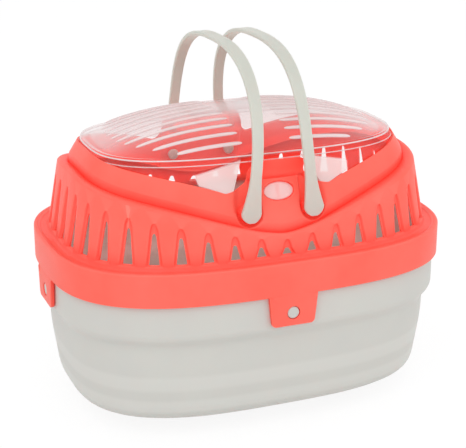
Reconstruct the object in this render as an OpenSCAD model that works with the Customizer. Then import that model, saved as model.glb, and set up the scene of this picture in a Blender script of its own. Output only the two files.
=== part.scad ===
/* [Outline] */
// Length of the carrier over its band
body_length = 300; // [260:1:340]
// Depth of the carrier over its band
body_depth = 217; // [195:1:240]
// Squareness of the outline, where 2 is an ellipse
outline_power = 2.95; // [2.6:0.05:3.4]
// Points round each ring of a moulding
ring_points = 80; // [64:4:96]
// Thickness of the moulded walls
wall = 2.4; // [2:0.1:3]

/* [Tub] */
// How far the flat base lies inside the band
base_inset = 49.7; // [44:0.5:54]
// How far the foot of the tub wall lies inside the band
foot_inset = 14.5; // [12:0.5:18]
// Height at which the sloping bottom meets the wall
foot_z = 18.7; // [14:0.5:24]
// How far the tub wall lies inside the band below its rim
waist_inset = 8.6; // [7:0.2:10]
// Bottom of the wider rim of the tub
rim_low_z = 75; // [70:1:80]
// Height of the step out to the rim
rim_step = 8; // [6:1:10]
// Gap between the tub's rim and the band round it
rim_gap = 0.6; // [0.4:0.1:1]

/* [Band and tabs] */
// Lower edge of the band
band_low_z = 108.5; // [104:0.5:111]
// Upper edge of the band's flat face
band_high_z = 131; // [128:0.5:132]
// Width of a snap tab where it leaves the band
tab_top_width = 38; // [34:1:44]
// Width of a snap tab at its lower end
tab_low_width = 33; // [28:1:36]
// Length of a snap tab below the band
tab_drop = 22.4; // [20:0.2:24]
// Radius of the tab's lower corners
tab_corner = 3.5; // [2:0.5:6]
// Diameter of the hole in a snap tab
tab_hole = 9.6; // [8:0.2:11]
// Gap all round the peg in its hole
peg_gap = 0.4; // [0.3:0.1:0.6]
// Drop of the hole below the band
hole_drop = 13; // [12:0.2:14]

/* [Vent wall] */
// How far the foot of the vent wall lies inside the band
wall_foot_inset = 10.6; // [9:0.2:12]
// Height of the foot of the vent wall
wall_foot_z = 134; // [133.5:0.5:136]
// Lean of the vent wall, inward for each mm up
wall_lean = 0.17; // [0.1:0.01:0.24]
// Number of vent slots round the wall
vent_count = 42; // [36:2:46]
// Width of a vent slot at its foot
vent_width = 7.5; // [6:0.1:8.5]
// Width of a vent slot at its top
vent_top_width = 2.4; // [1.6:0.1:3]
// Height of the shortest vent slot
vent_min_height = 4.5; // [4:0.5:6]
// Share of the shoulder's rise that the slots follow
vent_rise = 0.8; // [0.6:0.05:0.85]

/* [Shoulder and collar] */
// Height of the shoulder at the middle of the front
shoulder_low_z = 153; // [151:0.5:155]
// Height of the shoulder at the ends
shoulder_high_z = 187; // [184:0.5:189]
// Height of the collar's edge at the ends
collar_high_z = 199; // [197:0.5:201]
// Height of the collar's edge at its dips beside the piers
collar_low_z = 178; // [177:0.5:181]
// Half-length of the collar at the shoulder's end height
collar_reach_x = 123.5; // [121:0.5:126]
// Half-depth of the collar at the shoulder's low height
collar_reach_y = 90.5; // [88:0.5:91]
// Inward lean of the collar's ends for each mm up
collar_lean_x = 0.6; // [0.5:0.05:0.7]
// Inward lean of the collar's front for each mm up
collar_lean_y = 0.42; // [0.38:0.01:0.46]

/* [Piers] */
// Half-width of a pier at its foot
pier_foot_half = 31.5; // [30:0.5:33]
// Half-width of a pier at its top
pier_top_half = 26.5; // [24:0.5:28]
// Height of a pier
pier_high_z = 197; // [195:0.5:198]
// Half-width of the raised pad between the handles
pad_half = 14; // [13:0.5:15]
// Height of the raised pad
pad_high_z = 188.5; // [186:0.5:190]
// Depth of the recess on each side of the pad
recess = 2.4; // [1.8:0.1:2.6]
// Length of the oval window in the pad
oval_length = 22.4; // [18:0.2:24]
// Height of the oval window
oval_height = 12; // [10:0.2:14]
// Height of the oval window's centre
oval_z = 176.7; // [174:0.5:179]

/* [Handles] */
// Distance from the middle to each handle's pivot
pivot_x = 23.7; // [23:0.1:24.5]
// Height of the pivots
pivot_z = 165; // [164:0.5:166]
// Length of the boss that each stud turns in
boss_length = 7.7; // [7.2:0.1:8.4]
// How far a boss stands before the collar's face at its centre
boss_stand = 0.2; // [0:0.1:0.6]
// Running gap between a handle's foot and its boss
foot_gap = 0.35; // [0.25:0.05:0.5]
// Rise of a handle above its pivots
handle_rise = 106.5; // [96:0.5:116]
// How far a handle's top leans in over its pivots
handle_lean = 7.1; // [5:0.1:9]
// Width of a handle's strap
strap_width = 8; // [7:0.2:9]
// Width of the grip at the top of a handle
grip_width = 10; // [9:0.2:11]
// Thickness of a handle's strap
strap_thick = 4; // [3.4:0.1:4.2]
// Diameter of a handle's round foot
foot_width = 14.8; // [13:0.2:16]
// Diameter of the stud that a handle turns on
stud = 7; // [6:0.1:8]
// Radial running clearance of a stud in its bore
stud_play = 0.06; // [0.03:0.01:0.09]

/* [Lid] */
// Half-length of the lid over its flange
lid_reach_x = 115.2; // [113:0.1:117]
// Half-depth of the lid over its flange
lid_reach_y = 66.3; // [64:0.1:66.4]
// Squareness of the lid's outline
lid_power = 3; // [2.6:0.1:3.4]
// Thickness of the clear lid
lid_wall = 2; // [1.6:0.1:2.4]
// Gap between the lid and the edge that it rests on
seat_gap = 0.3; // [0.2:0.05:0.5]
// Rise of the dome above the flange
dome_rise = 19.4; // [14:0.2:21]
// Depth of the lid's skirt inside the collar
skirt_drop = 8; // [6:0.5:9]
// Thickness of the clear panels that fill the collar's dips
panel_wall = 1.8; // [1.4:0.1:2.2]
// Gap between a panel and the side of its pier
panel_gap = 1.5; // [0.8:0.1:2]
// Width of each rib on the dome
rib_width = 3; // [2.4:0.1:3.6]
// Spacing of the ribs
rib_pitch = 9.4; // [9:0.1:9.8]
// Ribs on each half of the dome
rib_count = 13; // [9:2:13]
// Height of the ribs above the dome
rib_rise = 1; // [0.6:0.1:1.4]
// Distance from the middle to the ribs' inner ends
rib_start = 18; // [15:1:24]
// Distance from the middle to the outer end of the middle rib
rib_reach = 95; // [90:1:100]
// Diameter of the lid's hinge pin
pin = 2.6; // [2:0.1:3]
// Diameter of the hinge's barrel and knuckles
knuckle = 6; // [5.4:0.1:6.2]

/* [Hidden] */
half_x = body_length / 2;
half_y = body_depth / 2;

// Radius of a superellipse of half-axes a and b at angle t.
function radius(t, a, b, n) =
    pow(pow(abs(cos(t)) / a, n) + pow(abs(sin(t)) / b, n), -1 / n);

// Point of that outline at height z.
function rim_point(t, a, b, n, z) =
    [radius(t, a, b, n) * cos(t), radius(t, a, b, n) * sin(t), z];

// The angles of the points round a ring.
turns = [for (i = [0:ring_points - 1]) 360 * i / ring_points];

// A ring inside the band by an inset, level at height z.
function level_ring(inset, z) =
    [for (t = turns) rim_point(t, half_x - inset, half_y - inset, outline_power, z)];

// Skin of stacked rings, closed at the first and the last.
module stack(rings) {
    n = len(rings[0]);
    m = len(rings);
    sides = [for (k = [0:m - 2], i = [0:n - 1], h = [0, 1]) h == 0
        ? [k * n + i, (k + 1) * n + i, k * n + (i + 1) % n]
        : [k * n + (i + 1) % n, (k + 1) * n + i, (k + 1) * n + (i + 1) % n]];
    low = [for (i = [0:n - 1]) i];
    high = [for (i = [0:n - 1]) m * n - 1 - i];
    polyhedron([for (r = rings) each r], concat([low], sides, [high]), convexity = 8);
}

// Skin of stacked rings that closes on itself, last ring to first.
module loop_stack(rings) {
    n = len(rings[0]);
    m = len(rings);
    polyhedron([for (r = rings) each r], [for (k = [0:m - 1], i = [0:n - 1], h = [0, 1])
        let (j = (i + 1) % n, q = (k + 1) % m) h == 0
            ? [k * n + i, q * n + i, k * n + j]
            : [k * n + j, q * n + i, q * n + j]], convexity = 8);
}

// ---- Tub ----

tub_top_z = band_high_z - 1.9;
rim_inset = wall + rim_gap;
// Where the flat cone of the bottom ends and the wall starts, round the corner at foot_z.
cone_end = [foot_inset + 8.5, foot_z - 8.5 * foot_z / (base_inset - foot_inset)];
wall_start = [foot_inset - 1.7, foot_z + 9];
corner = [foot_inset, foot_z];
function bend(p, q, r, u) = p * (1 - u) * (1 - u) + q * 2 * u * (1 - u) + r * u * u;
// Outside of the tub as pairs of inset and height.
tub_profile = [
    [base_inset, 0],
    for (u = [0:0.25:1]) bend(cone_end, corner, wall_start, u),
    [waist_inset + 1.2, 48],
    [waist_inset, rim_low_z - 14],
    [waist_inset, rim_low_z],
    [rim_inset, rim_low_z + rim_step],
    [rim_inset, tub_top_z],
];

// Direction square to a profile at its k-th point, into the tub.
function inward(p, k) =
    let (d = p[min(k + 1, len(p) - 1)] - p[max(k - 1, 0)], s = norm(d)) [d[1], -d[0]] / s;

module tub() {
    outer = [for (p = tub_profile) level_ring(p[0], p[1])];
    last = len(tub_profile) - 1;
    inner = [for (k = [last:-1:0]) let (p = tub_profile[k], v = inward(tub_profile, k))
        level_ring(p[0] + wall * v[0], k == last ? p[1] : max(wall, p[1] + wall * v[1]))];
    color([0.81, 0.81, 0.78]) {
        stack(concat(outer, inner));
        for (t = [0:90:270]) peg(t);
    }
}

tab_z = band_low_z - tab_drop;
hole_z = band_low_z - hole_drop;
function side_reach(t) = t % 180 == 0 ? half_x : half_y;

// Round peg on the tub's rim, one on each side.
module peg(t) {
    r = tab_hole / 2 - peg_gap;
    root = side_reach(t) - rim_inset - wall / 2;
    rotate([0, 0, t]) translate([root, 0, hole_z]) rotate([0, 90, 0])
        cylinder(h = rim_inset + wall / 2 - 0.2, r = r, $fn = 48);
}

// ---- Upper shell ----

// Height of the shoulder at angle t: a smile over the front and the rear.
function shoulder(t) = shoulder_low_z + (shoulder_high_z - shoulder_low_z) * pow(abs(cos(t)), 1.55);
// Height of the collar's edge at angle t: it falls from the ends to a dip beside each pier.
dip_angle = atan2(pier_foot_half + 7, collar_reach_y - 12);
function from_front(t) = atan2(abs(cos(t)), abs(sin(t)));
function collar_edge(t) = collar_low_z + (collar_high_z - collar_low_z)
    * pow(sin(90 * max(0, from_front(t) - dip_angle) / (90 - dip_angle)), 0.95);
// Half-axes of the collar's leaning surface at height z.
function collar_x(z) = collar_reach_x + collar_lean_x * (shoulder_high_z - z);
function collar_y(z) = collar_reach_y + collar_lean_y * (shoulder_low_z - z);
function wall_inset(z) = wall_foot_inset + wall_lean * (z - wall_foot_z);
// Ring on the vent wall, a drop below the shoulder and an inset inside the wall's surface.
function wall_ring(drop, inset) = [for (t = turns)
    let (z = shoulder(t) - drop, d = wall_inset(z) + inset)
    rim_point(t, half_x - d, half_y - d, outline_power, z)];
// Ring on the collar, at its foot or at its edge.
function collar_ring(at_edge, inset, lift) = [for (t = turns)
    let (z = at_edge ? collar_edge(t) : shoulder(t))
    rim_point(t, collar_x(z) - inset, collar_y(z) - inset, outline_power, z + lift)];

module shell_skin() {
    loop_stack([
        level_ring(0, band_low_z),
        level_ring(0, band_high_z),
        level_ring(1.2, band_high_z + 1.4),
        level_ring(4, band_high_z + 2.2),
        level_ring(wall_foot_inset - 1.2, wall_foot_z - 0.5),
        level_ring(wall_inset(wall_foot_z + 1.5), wall_foot_z + 1.5),
        wall_ring(6, 0),
        wall_ring(2.6, 1.6),
        wall_ring(0.6, 4.4),
        collar_ring(false, 0, 0),
        collar_ring(true, 0, -0.8),
        collar_ring(true, wall / 2, 0),
        collar_ring(true, wall, -0.8),
        collar_ring(false, wall, -wall),
        wall_ring(3.6, 4.4),
        wall_ring(7, wall),
        level_ring(wall_inset(wall_foot_z) + wall, wall_foot_z - 1.5),
        level_ring(wall_foot_inset, wall_foot_z - 3.4),
        level_ring(wall, band_high_z - 1.6),
        level_ring(wall, band_low_z),
    ]);
}

// Snap tab below the band on one side, as a plate standing square to x.
module tab(t) {
    r = tab_corner;
    low = tab_low_width / 2;
    top = tab_top_width / 2;
    rotate([0, 0, t]) translate([side_reach(t) - wall, 0, 0]) rotate([90, 0, 90])
        linear_extrude(wall + 0.4) {
            polygon([
                [-top, band_low_z + 4],
                for (a = [180:15:270]) [-low + r + r * cos(a), tab_z + r + r * sin(a)],
                for (a = [270:15:360]) [low - r + r * cos(a), tab_z + r + r * sin(a)],
                [top, band_low_z + 4],
            ]);
        }
}

// Outline points along the vent wall's foot, and how far round it each lies.
fine = [for (i = [0:720]) let (d = wall_foot_inset)
    rim_point(i / 2 - 90, half_x - d, half_y - d, outline_power, wall_foot_z)];
runs = [for (k = 0, s = 0; k <= 720; s = s + (k < 720 ? norm(fine[k + 1] - fine[k]) : 0), k = k + 1) s];
round_length = runs[720];
// Point and outward direction at a distance round the foot.
function foot_at(s) = let (k = max([for (i = [0:719]) if (runs[i] <= s) i]),
    u = (s - runs[k]) / (runs[k + 1] - runs[k]), p = fine[k] * (1 - u) + fine[k + 1] * u,
    d = fine[k + 1] - fine[k]) [p, atan2(-d[0], d[1])];

// One vent slot, flat at the foot and narrow and round at the top.
module vent(s) {
    at = foot_at(s);
    h = vent_min_height + vent_rise * (shoulder(atan2(at[0][1], at[0][0])) - shoulder_low_z);
    top = vent_top_width / 2;
    low = vent_width / 2;
    translate([at[0][0], at[0][1], wall_foot_z + 1]) rotate([90, 0, at[1] + 90])
        translate([0, 0, -18]) linear_extrude(26)
            polygon([
                [-low, 0], [low, 0],
                for (a = [0:45:180]) [top * cos(a), h - top + top * sin(a)],
            ]);
}

pier_slope = atan(collar_lean_y);
slope_length = 1 / cos(pier_slope);
// A flat plate on the leaning front: points of x and height, thick inward from a depth.
module leaning_plate(points, depth, thick) {
    translate([0, -collar_y(pivot_z), pivot_z])
        rotate([90 - pier_slope, 0, 0])
            translate([0, 0, -depth - thick])
                linear_extrude(thick)
                    polygon([for (p = points) [p[0], (p[1] - pivot_z) * slope_length]]);
}

function round_corner(x, z, r, a) = [for (i = [0:5]) let (t = a + 18 * i) [x + r * cos(t), z + r * sin(t)]];

// Front pier: a leaning plate behind the collar, with the pad before it.
module pier_body() {
    low_z = shoulder_low_z + 1;
    r = 7;
    leaning_plate([
        [-pier_foot_half - 2, low_z], [pier_foot_half + 2, low_z],
        [pier_foot_half, collar_low_z],
        each round_corner(pier_top_half - r, pier_high_z - r, r, 0),
        each round_corner(-pier_top_half + r, pier_high_z - r, r, 90),
        [-pier_foot_half, collar_low_z],
    ], recess, wall);
    leaning_plate([
        [-pad_half, low_z], [pad_half, low_z],
        each round_corner(pad_half - 3, pad_high_z - 3, 3, 0),
        each round_corner(-pad_half + 3, pad_high_z - 3, 3, 90),
    ], 0, recess + 0.2);
    for (x = [-pivot_x, pivot_x]) translate([x, boss_y, pivot_z]) rotate([-90, 0, 0])
        cylinder(h = boss_length, d = foot_width - 0.6, $fn = 64);
}

// The bosses' faces, and from them the handles, keep to the collar's face at the pivots.
boss_y = -collar_y(pivot_z) - boss_stand;

// What is cut from the front: the recesses beside the pad, the oval window and the stud bores.
module pier_recess() {
    for (s = [-1, 1]) leaning_plate([
        [s * (pad_half + 0.1), shoulder_low_z + 4], [s * pier_foot_half, shoulder_low_z + 4],
        [s * pier_foot_half, pier_high_z], [s * (pad_half + 0.1), pier_high_z],
    ], -8, 8 + recess);
}

module pier_holes() {
    leaning_plate([for (a = [0:9:351]) [oval_length / 2 * cos(a), oval_z + oval_height / 2 * sin(a)]],
        -6, 16);
    for (x = [-pivot_x, pivot_x]) translate([x, boss_y - 1, pivot_z]) rotate([-90, 0, 0])
        cylinder(h = boss_length + 4, d = stud + 2 * stud_play, $fn = 64);
}

module upper_shell() {
    color([0.99, 0.44, 0.39]) {
        difference() {
            union() {
                difference() {
                    shell_skin();
                    for (i = [0:vent_count - 1]) vent(i * round_length / vent_count);
                    for (t = [0, 180]) rotate([0, 0, t]) pier_recess();
                }
                for (t = [0, 180]) rotate([0, 0, t]) pier_body();
                for (t = [0:90:270]) tab(t);
                knuckles();
            }
            for (t = [0, 180]) rotate([0, 0, t]) pier_holes();
            for (t = [0, 90, 180, 270]) rotate([0, 0, t])
                translate([side_reach(t) - 8, 0, hole_z]) rotate([0, 90, 0])
                    cylinder(h = 12, d = tab_hole, $fn = 64);
            hinge_bore();
        }
    }
}

// ---- Lid hinge, at the top of the rear pier ----

hinge_y = lid_reach_y + knuckle / 2 + 0.5;
hinge_z = pier_high_z + 2.5;
barrel_half = 9.7;
knuckle_end = 16;

module along_x(x0, x1, d) {
    translate([x0, hinge_y, hinge_z]) rotate([0, 90, 0]) cylinder(h = x1 - x0, d = d, $fn = 48);
}

module knuckles() {
    for (s = [-1, 1]) {
        x0 = s > 0 ? barrel_half + 0.3 : -knuckle_end;
        x1 = s > 0 ? knuckle_end : -barrel_half - 0.3;
        along_x(x0, x1, knuckle);
        translate([x0, hinge_y - 1.5, pier_high_z - 5]) cube([x1 - x0, 3.4, 6]);
    }
}

module hinge_bore() {
    along_x(-knuckle_end - 1, knuckle_end + 1, pin + 2 * stud_play);
}

// ---- Lid ----

flange_z = collar_high_z + seat_gap;
skirt_x = lid_reach_x - 5.6;
skirt_y = lid_reach_y - 2.8;
dome_x = lid_reach_x - 3.4;
dome_y = lid_reach_y - 1.4;
flange_thick = 2;

function lid_ring(a, b, z) = [for (t = turns) rim_point(t, a, b, lid_power, z)];
// The lower edge of the skirt follows the collar's edge.
function skirt_ring(a, b, drop) = [for (t = turns)
    rim_point(t, a, b, lid_power, collar_edge(t) - drop)];
// Ring of the dome at a share of its half-axes, sunk below its skin.
function dome_ring(share, sunk) = lid_ring(share * dome_x - sunk, share * dome_y - sunk,
    flange_z + flange_thick + dome_rise * (1 - pow(share, 2.4)) - sunk);

// Angle that the lid opens to.
lid_open = 15;
panel_inset = 0.6;
panel_notch = pier_foot_half + panel_gap;
// Half-axes of the clear panels' leaning surface at height z; it is flush with the collar in the dips.
function panel_x(z) = lid_reach_x - panel_inset + collar_lean_x * (flange_z - z);
function panel_y(z) = lid_reach_y - panel_inset
    + (collar_y(collar_low_z) - lid_reach_y) / (flange_z - collar_low_z) * (flange_z - z);
function panel_point(t, inset, z) = rim_point(t, panel_x(z) - inset, panel_y(z) - inset, lid_power, z);
// Foot of the panels: just above the collar's edge, further up behind the hinge so that it clears the
// edge as the lid opens, and a low bead where a pier stands.
function panel_foot(t, inset) = let (
    p = panel_point(t, inset, collar_edge(t) + seat_gap),
    at_pier = abs(p[0]) < panel_notch && abs(p[1]) > lid_reach_y / 2,
    lift = max(0, p[1] + inset - hinge_y) * sin(lid_open))
        at_pier ? panel_point(t, inset, flange_z - seat_gap) : p + [0, 0, lift];

module lid_skin() {
    stack(concat(
        [for (s = [0.06, 0.3, 0.55, 0.75, 0.9, 0.97]) dome_ring(s, lid_wall)],
        [
            lid_ring(skirt_x - lid_wall, skirt_y - lid_wall, flange_z),
            skirt_ring(skirt_x - lid_wall, skirt_y - lid_wall, skirt_drop),
            skirt_ring(skirt_x, skirt_y, skirt_drop),
            lid_ring(skirt_x, skirt_y, flange_z),
            [for (t = turns) panel_point(t, panel_wall, flange_z)],
            [for (t = turns) panel_foot(t, panel_wall)],
            [for (t = turns) panel_foot(t, 0)],
            [for (t = turns) panel_point(t, 0, flange_z)],
            lid_ring(lid_reach_x, lid_reach_y, flange_z),
            lid_ring(lid_reach_x, lid_reach_y, flange_z + flange_thick),
        ],
        [for (s = [1, 0.97, 0.9, 0.75, 0.55, 0.3, 0.06]) dome_ring(s, 0)]));
}

// Solid under the dome's skin, raised or sunk by a height, to cut the ribs from.
module dome_solid(lift) {
    stack([
        for (s = [1, 0.97, 0.9, 0.75, 0.55, 0.3, 0.06])
            [for (p = dome_ring(s, 0)) p + [0, 0, lift]]
    ]);
}

module ribs() {
    intersection() {
        difference() {
            dome_solid(rib_rise);
            translate([0, 0, -lid_wall / 2]) dome_solid(0);
        }
        for (s = [-1, 1], k = [0:rib_count - 1]) {
            y = (k - (rib_count - 1) / 2) * rib_pitch;
            reach = rib_reach * sqrt(1 - pow(y / (lid_reach_y + 4), 2));
            translate([s > 0 ? rib_start : -reach, y - rib_width / 2, flange_z])
                cube([reach - rib_start, rib_width, dome_rise + 9]);
        }
    }
}

module lid() {
    color([0.95, 0.88, 0.88, 0.6]) {
        lid_skin();
        ribs();
        along_x(-barrel_half, barrel_half, knuckle);
        along_x(-knuckle_end, knuckle_end, pin);
        translate([-barrel_half, lid_reach_y - 2, flange_z]) cube([2 * barrel_half, 4.5, flange_thick]);
    }
}

// ---- Handles ----

arch_steps = 16;
// Depth from the middle plane to the centre of a strap.
handle_reach = strap_thick / 2 + foot_gap - boss_y;
// Angles along half an arch, closer together at its foot and its top.
half_arch = [for (i = [0:arch_steps]) 90 * pow(sin(90 * i / arch_steps), 2)];
arch_turns = concat(half_arch, [for (i = [arch_steps - 1:-1:0]) 180 - half_arch[i]]);
// Centre of the strap at an angle, from the front pivot over the dome to the rear one.
function arch(t) = let (u = pow(sin(t), 0.595)) [
    pivot_x - handle_lean * (1 - pow(1 - u, 2.39)),
    -handle_reach * sign(cos(t)) * pow(abs(cos(t)), 0.755),
    pivot_z + handle_rise * u,
];
function strap_at(z) = let (u = (z - pivot_z) / handle_rise)
    strap_width + (foot_width - strap_width) * pow(max(0, 1 - u / 0.24), 1.5)
        + (grip_width - strap_width) * pow(u, 4);

// Rounded section of the strap: half its points across x, half along its thickness.
function section(p, way, w) = let (r = 1.3, h = w / 2, k = strap_thick / 2)
    [for (c = [[h, k - r], [h, r - k], [h - r, -k], [r - h, -k], [-h, r - k], [-h, k - r], [r - h, k], [h - r, k]])
        p + [c[0], c[1] * way[0], c[1] * way[1]]];

// Direction square to the arch in its own plane, pointing out of the loop.
function arch_out(k) = let (
    a = arch(arch_turns[max(0, k - 1)]),
    b = arch(arch_turns[min(len(arch_turns) - 1, k + 1)]),
    d = [b[1] - a[1], b[2] - a[2]], s = norm(d)) [-d[1], d[0]] / s;

module handle() {
    n = len(arch_turns);
    stack([for (k = [0:n - 1])
        let (p = arch(arch_turns[k]), way = k == 0 ? [-1, 0] : k == n - 1 ? [1, 0] : arch_out(k))
        section(p, way, strap_at(p[2]))]);
    for (s = [0, 1]) mirror([0, s, 0]) {
        translate([pivot_x, -handle_reach - strap_thick / 2, pivot_z]) rotate([-90, 0, 0])
            cylinder(h = strap_thick, d = foot_width, $fn = 64);
        translate([pivot_x, -handle_reach, pivot_z]) rotate([-90, 0, 0])
            cylinder(h = strap_thick / 2 + foot_gap + boss_length + 1.6, d = stud, $fn = 48);
        translate([pivot_x, boss_y + boss_length + 0.3, pivot_z]) rotate([-90, 0, 0])
            cylinder(h = 1.3, d = stud + 1.6, $fn = 48);
    }
}

module handle_right() {
    color([0.83, 0.85, 0.82]) handle();
}

module handle_left() {
    color([0.83, 0.85, 0.82]) mirror([1, 0, 0]) handle();
}

tub();
upper_shell();
lid();
handle_left();
handle_right();
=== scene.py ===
import math

import bpy
import numpy as np
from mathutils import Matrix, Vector


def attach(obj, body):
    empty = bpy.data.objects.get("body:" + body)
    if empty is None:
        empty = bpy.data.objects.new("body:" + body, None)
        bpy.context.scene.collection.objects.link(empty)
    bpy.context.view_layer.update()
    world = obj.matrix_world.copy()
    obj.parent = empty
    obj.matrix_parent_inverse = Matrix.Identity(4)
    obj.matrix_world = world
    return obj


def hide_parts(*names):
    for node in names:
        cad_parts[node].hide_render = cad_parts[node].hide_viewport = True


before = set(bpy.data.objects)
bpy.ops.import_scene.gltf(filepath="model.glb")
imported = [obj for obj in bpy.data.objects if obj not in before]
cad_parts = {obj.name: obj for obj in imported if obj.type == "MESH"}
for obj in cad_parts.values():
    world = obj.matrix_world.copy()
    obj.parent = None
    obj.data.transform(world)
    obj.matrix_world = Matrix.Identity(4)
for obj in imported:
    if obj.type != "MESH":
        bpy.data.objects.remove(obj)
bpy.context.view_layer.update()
print("stage: packed carrier loaded")

# Shapes are worked out in millimetres and become metres when a mesh is made.
mm = 0.001


# Puts a camera or lamp at a place, turned towards a target.
def aim(thing, place, target):
    bpy.context.scene.collection.objects.link(thing)
    thing.location = place
    thing.rotation_euler = (Vector(place) - Vector(target)).to_track_quat("Z", "Y").to_euler()


# Camera for the main view; the shift is in parts of frameWidth.
cameraSettings = {"place": (-0.3497, -0.8779, 0.4443), "target": (0.0, 0.0, 0.117), "lens": 100.96, "sensor": 36,
                  "shift": (-3.21, 12.29), "frameWidth": 466}

cameraData = bpy.data.cameras.new("camera")
cameraData.sensor_width = cameraSettings["sensor"]
cameraData.lens = cameraSettings["lens"]
cameraData.shift_x, cameraData.shift_y = [shift / cameraSettings["frameWidth"] for shift in cameraSettings["shift"]]
camera = bpy.data.objects.new("camera", cameraData)
aim(camera, cameraSettings["place"], cameraSettings["target"])
bpy.context.scene.camera = camera


# halfX and halfY are the half-sizes over the band; power is the squareness of the plan outline. The vent wall starts
# wallFoot inside the band at wallFootZ and leans in by wallLean per mm; wall is its thickness.
outlineSettings = {"halfX": 150.0, "halfY": 108.5, "power": 2.95, "wallFoot": 10.6, "wallFootZ": 134.0,
                   "wallLean": 0.17, "wall": 2.7}
# The shoulder and the collar's edge run from a low height at front and rear to a high one at the ends.
shoulderSettings = {"lowZ": 153.0, "highZ": 187.0, "curve": 1.55, "rimDrop": 1.9, "frontDrop": 1.3,
                    "rimShare": 0.3, "rimRound": 2.3, "groove": 2.4, "grooveFall": 1.6,
                    "edgeLowZ": 178.0, "edgeHighZ": 199.0, "edgeCurve": 0.95, "dipDeg": 26.13,
                    "reachX": 123.5, "reachY": 90.5, "leanX": 0.6, "leanY": 0.42}
ventSettings = {"count": 42, "footZ": 135.0, "lowHeight": 4.5, "rise": 0.8, "halfFoot": 3.75, "halfTop": 1.25,
                "recessSide": 2.5, "recessAbove": 6.4, "recessDepth": 1.6, "leastHalf": 0.45, "leastRecess": 0.9,
                "rows": 13, "perSlot": 20}


# Eased step: 0 below the place, 1 above it, on a cubic over a soft width.
def easedStep(value, place, soft):
    t = np.clip((value - place) / soft + 0.5, 0, 1)
    return t * t * (3 - 2 * t)


# The greater of two values, with the corner between them rounded by a parabola of size k.
def softMax(a, b, k):
    h = np.clip(0.5 + 0.5 * (a - b) / k, 0, 1)
    return b + (a - b) * h + k * h * (1 - h)


# Superellipse outline: the radius at each angle is (|cos/a|^n + |sin/b|^n)^(-1/n).
def outline(angle, a, b, n):
    r = (np.abs(np.cos(angle) / a) ** n + np.abs(np.sin(angle) / b) ** n) ** (-1 / n)
    return r * np.cos(angle), r * np.sin(angle)


# Run of the wall's foot: places and slopes against the distance round it, from the middle of the front.
footAngle = np.linspace(-np.pi / 2, 1.5 * np.pi, 7201)
footX, footY = outline(footAngle, outlineSettings["halfX"] - outlineSettings["wallFoot"],
                       outlineSettings["halfY"] - outlineSettings["wallFoot"], outlineSettings["power"])
footRun = np.concatenate([[0], np.cumsum(np.hypot(np.diff(footX), np.diff(footY)))])
roundLength = footRun[-1]
slopeX, slopeY = np.gradient(footX, footRun), np.gradient(footY, footRun)
slopeX[[0, -1]], slopeY[[0, -1]] = 1, 0
slotPitch = roundLength / ventSettings["count"]


# Outward plan directions at a place on the foot run.
def outward(run):
    return np.interp(run % roundLength, footRun, slopeY), -np.interp(run % roundLength, footRun, slopeX)


# Point on the superellipse of half-axes a and b, reached outward from the foot run by a distance that Newton steps
# find.
def ringAt(run, a, b, z):
    n = outlineSettings["power"]
    x0, y0 = np.interp(run % roundLength, footRun, footX), np.interp(run % roundLength, footRun, footY)
    nx, ny = outward(run)
    t = np.zeros_like(x0)

    def off(distance):
        return (np.abs((x0 + nx * distance) / a) ** n + np.abs((y0 + ny * distance) / b) ** n) ** (1 / n) - 1

    for i in range(8):
        t = t - off(t) * 0.02 / (off(t + 0.01) - off(t - 0.01))
    return np.stack([x0 + nx * t, y0 + ny * t, z + np.zeros_like(x0)], -1)


# Level ring, an inset inside the band.
def levelRing(run, inset, z):
    return ringAt(run, outlineSettings["halfX"] - inset, outlineSettings["halfY"] - inset, z)


# Height of the shoulder: its rise goes as |cos| of the plan angle to a power.
def shoulderZ(angle):
    s = shoulderSettings
    return s["lowZ"] + (s["highZ"] - s["lowZ"]) * np.abs(np.cos(angle)) ** s["curve"]


# Height of the collar's edge: level in the dips beside the piers, then a sine of the angle past the dip, to a power.
def collarEdgeZ(angle):
    s = shoulderSettings
    fromFront = np.degrees(np.arctan2(np.abs(np.cos(angle)), np.abs(np.sin(angle))))
    share = np.clip((fromFront - s["dipDeg"]) / (90 - s["dipDeg"]), 0, 1)
    return s["edgeLowZ"] + (s["edgeHighZ"] - s["edgeLowZ"]) * np.sin(np.pi / 2 * share) ** s["edgeCurve"]


# Ring on the leaning collar at a height that may differ from place to place.
def collarRing(run, z, inset=0.0):
    s = shoulderSettings
    return ringAt(run, s["reachX"] + s["leanX"] * (s["highZ"] - z) - inset,
                  s["reachY"] + s["leanY"] * (s["lowZ"] - z) - inset, z)


# Ring on the vent wall at a height, pushed in by a depth.
def wallRing(run, z, depth=0.0):
    s = outlineSettings
    return levelRing(run, s["wallFoot"] + s["wallLean"] * (z - s["wallFootZ"]) + depth, z)


# Plan angle of ring points, by which the shoulder and the collar's edge rise and fall.
def planAngle(points):
    return np.arctan2(points[..., 1], points[..., 0])


# Drop of the shoulder's rim below the collar's crease: more at front and rear, by |sin|^6 of the plan angle.
def rimDrop(angle):
    return shoulderSettings["rimDrop"] + shoulderSettings["frontDrop"] * np.abs(np.sin(angle)) ** 6


# Ring that follows the shoulder at a rise above its rim, a share of the way from the vent wall (0) to the groove at
# the collar's foot (1). Its height and place depend on each other, so four rounds settle them.
def shoulderRing(run, across, rise, depth=0.0):
    z = np.full(run.shape, 165.0)
    for i in range(4):
        wall, foot = wallRing(run, z, depth), collarRing(run, z, shoulderSettings["groove"])
        ring = wall + (foot - wall) * across
        z = shoulderZ(planAngle(ring)) + rise - rimDrop(planAngle(ring))
    ring[:, 2] = z
    return ring


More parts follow.
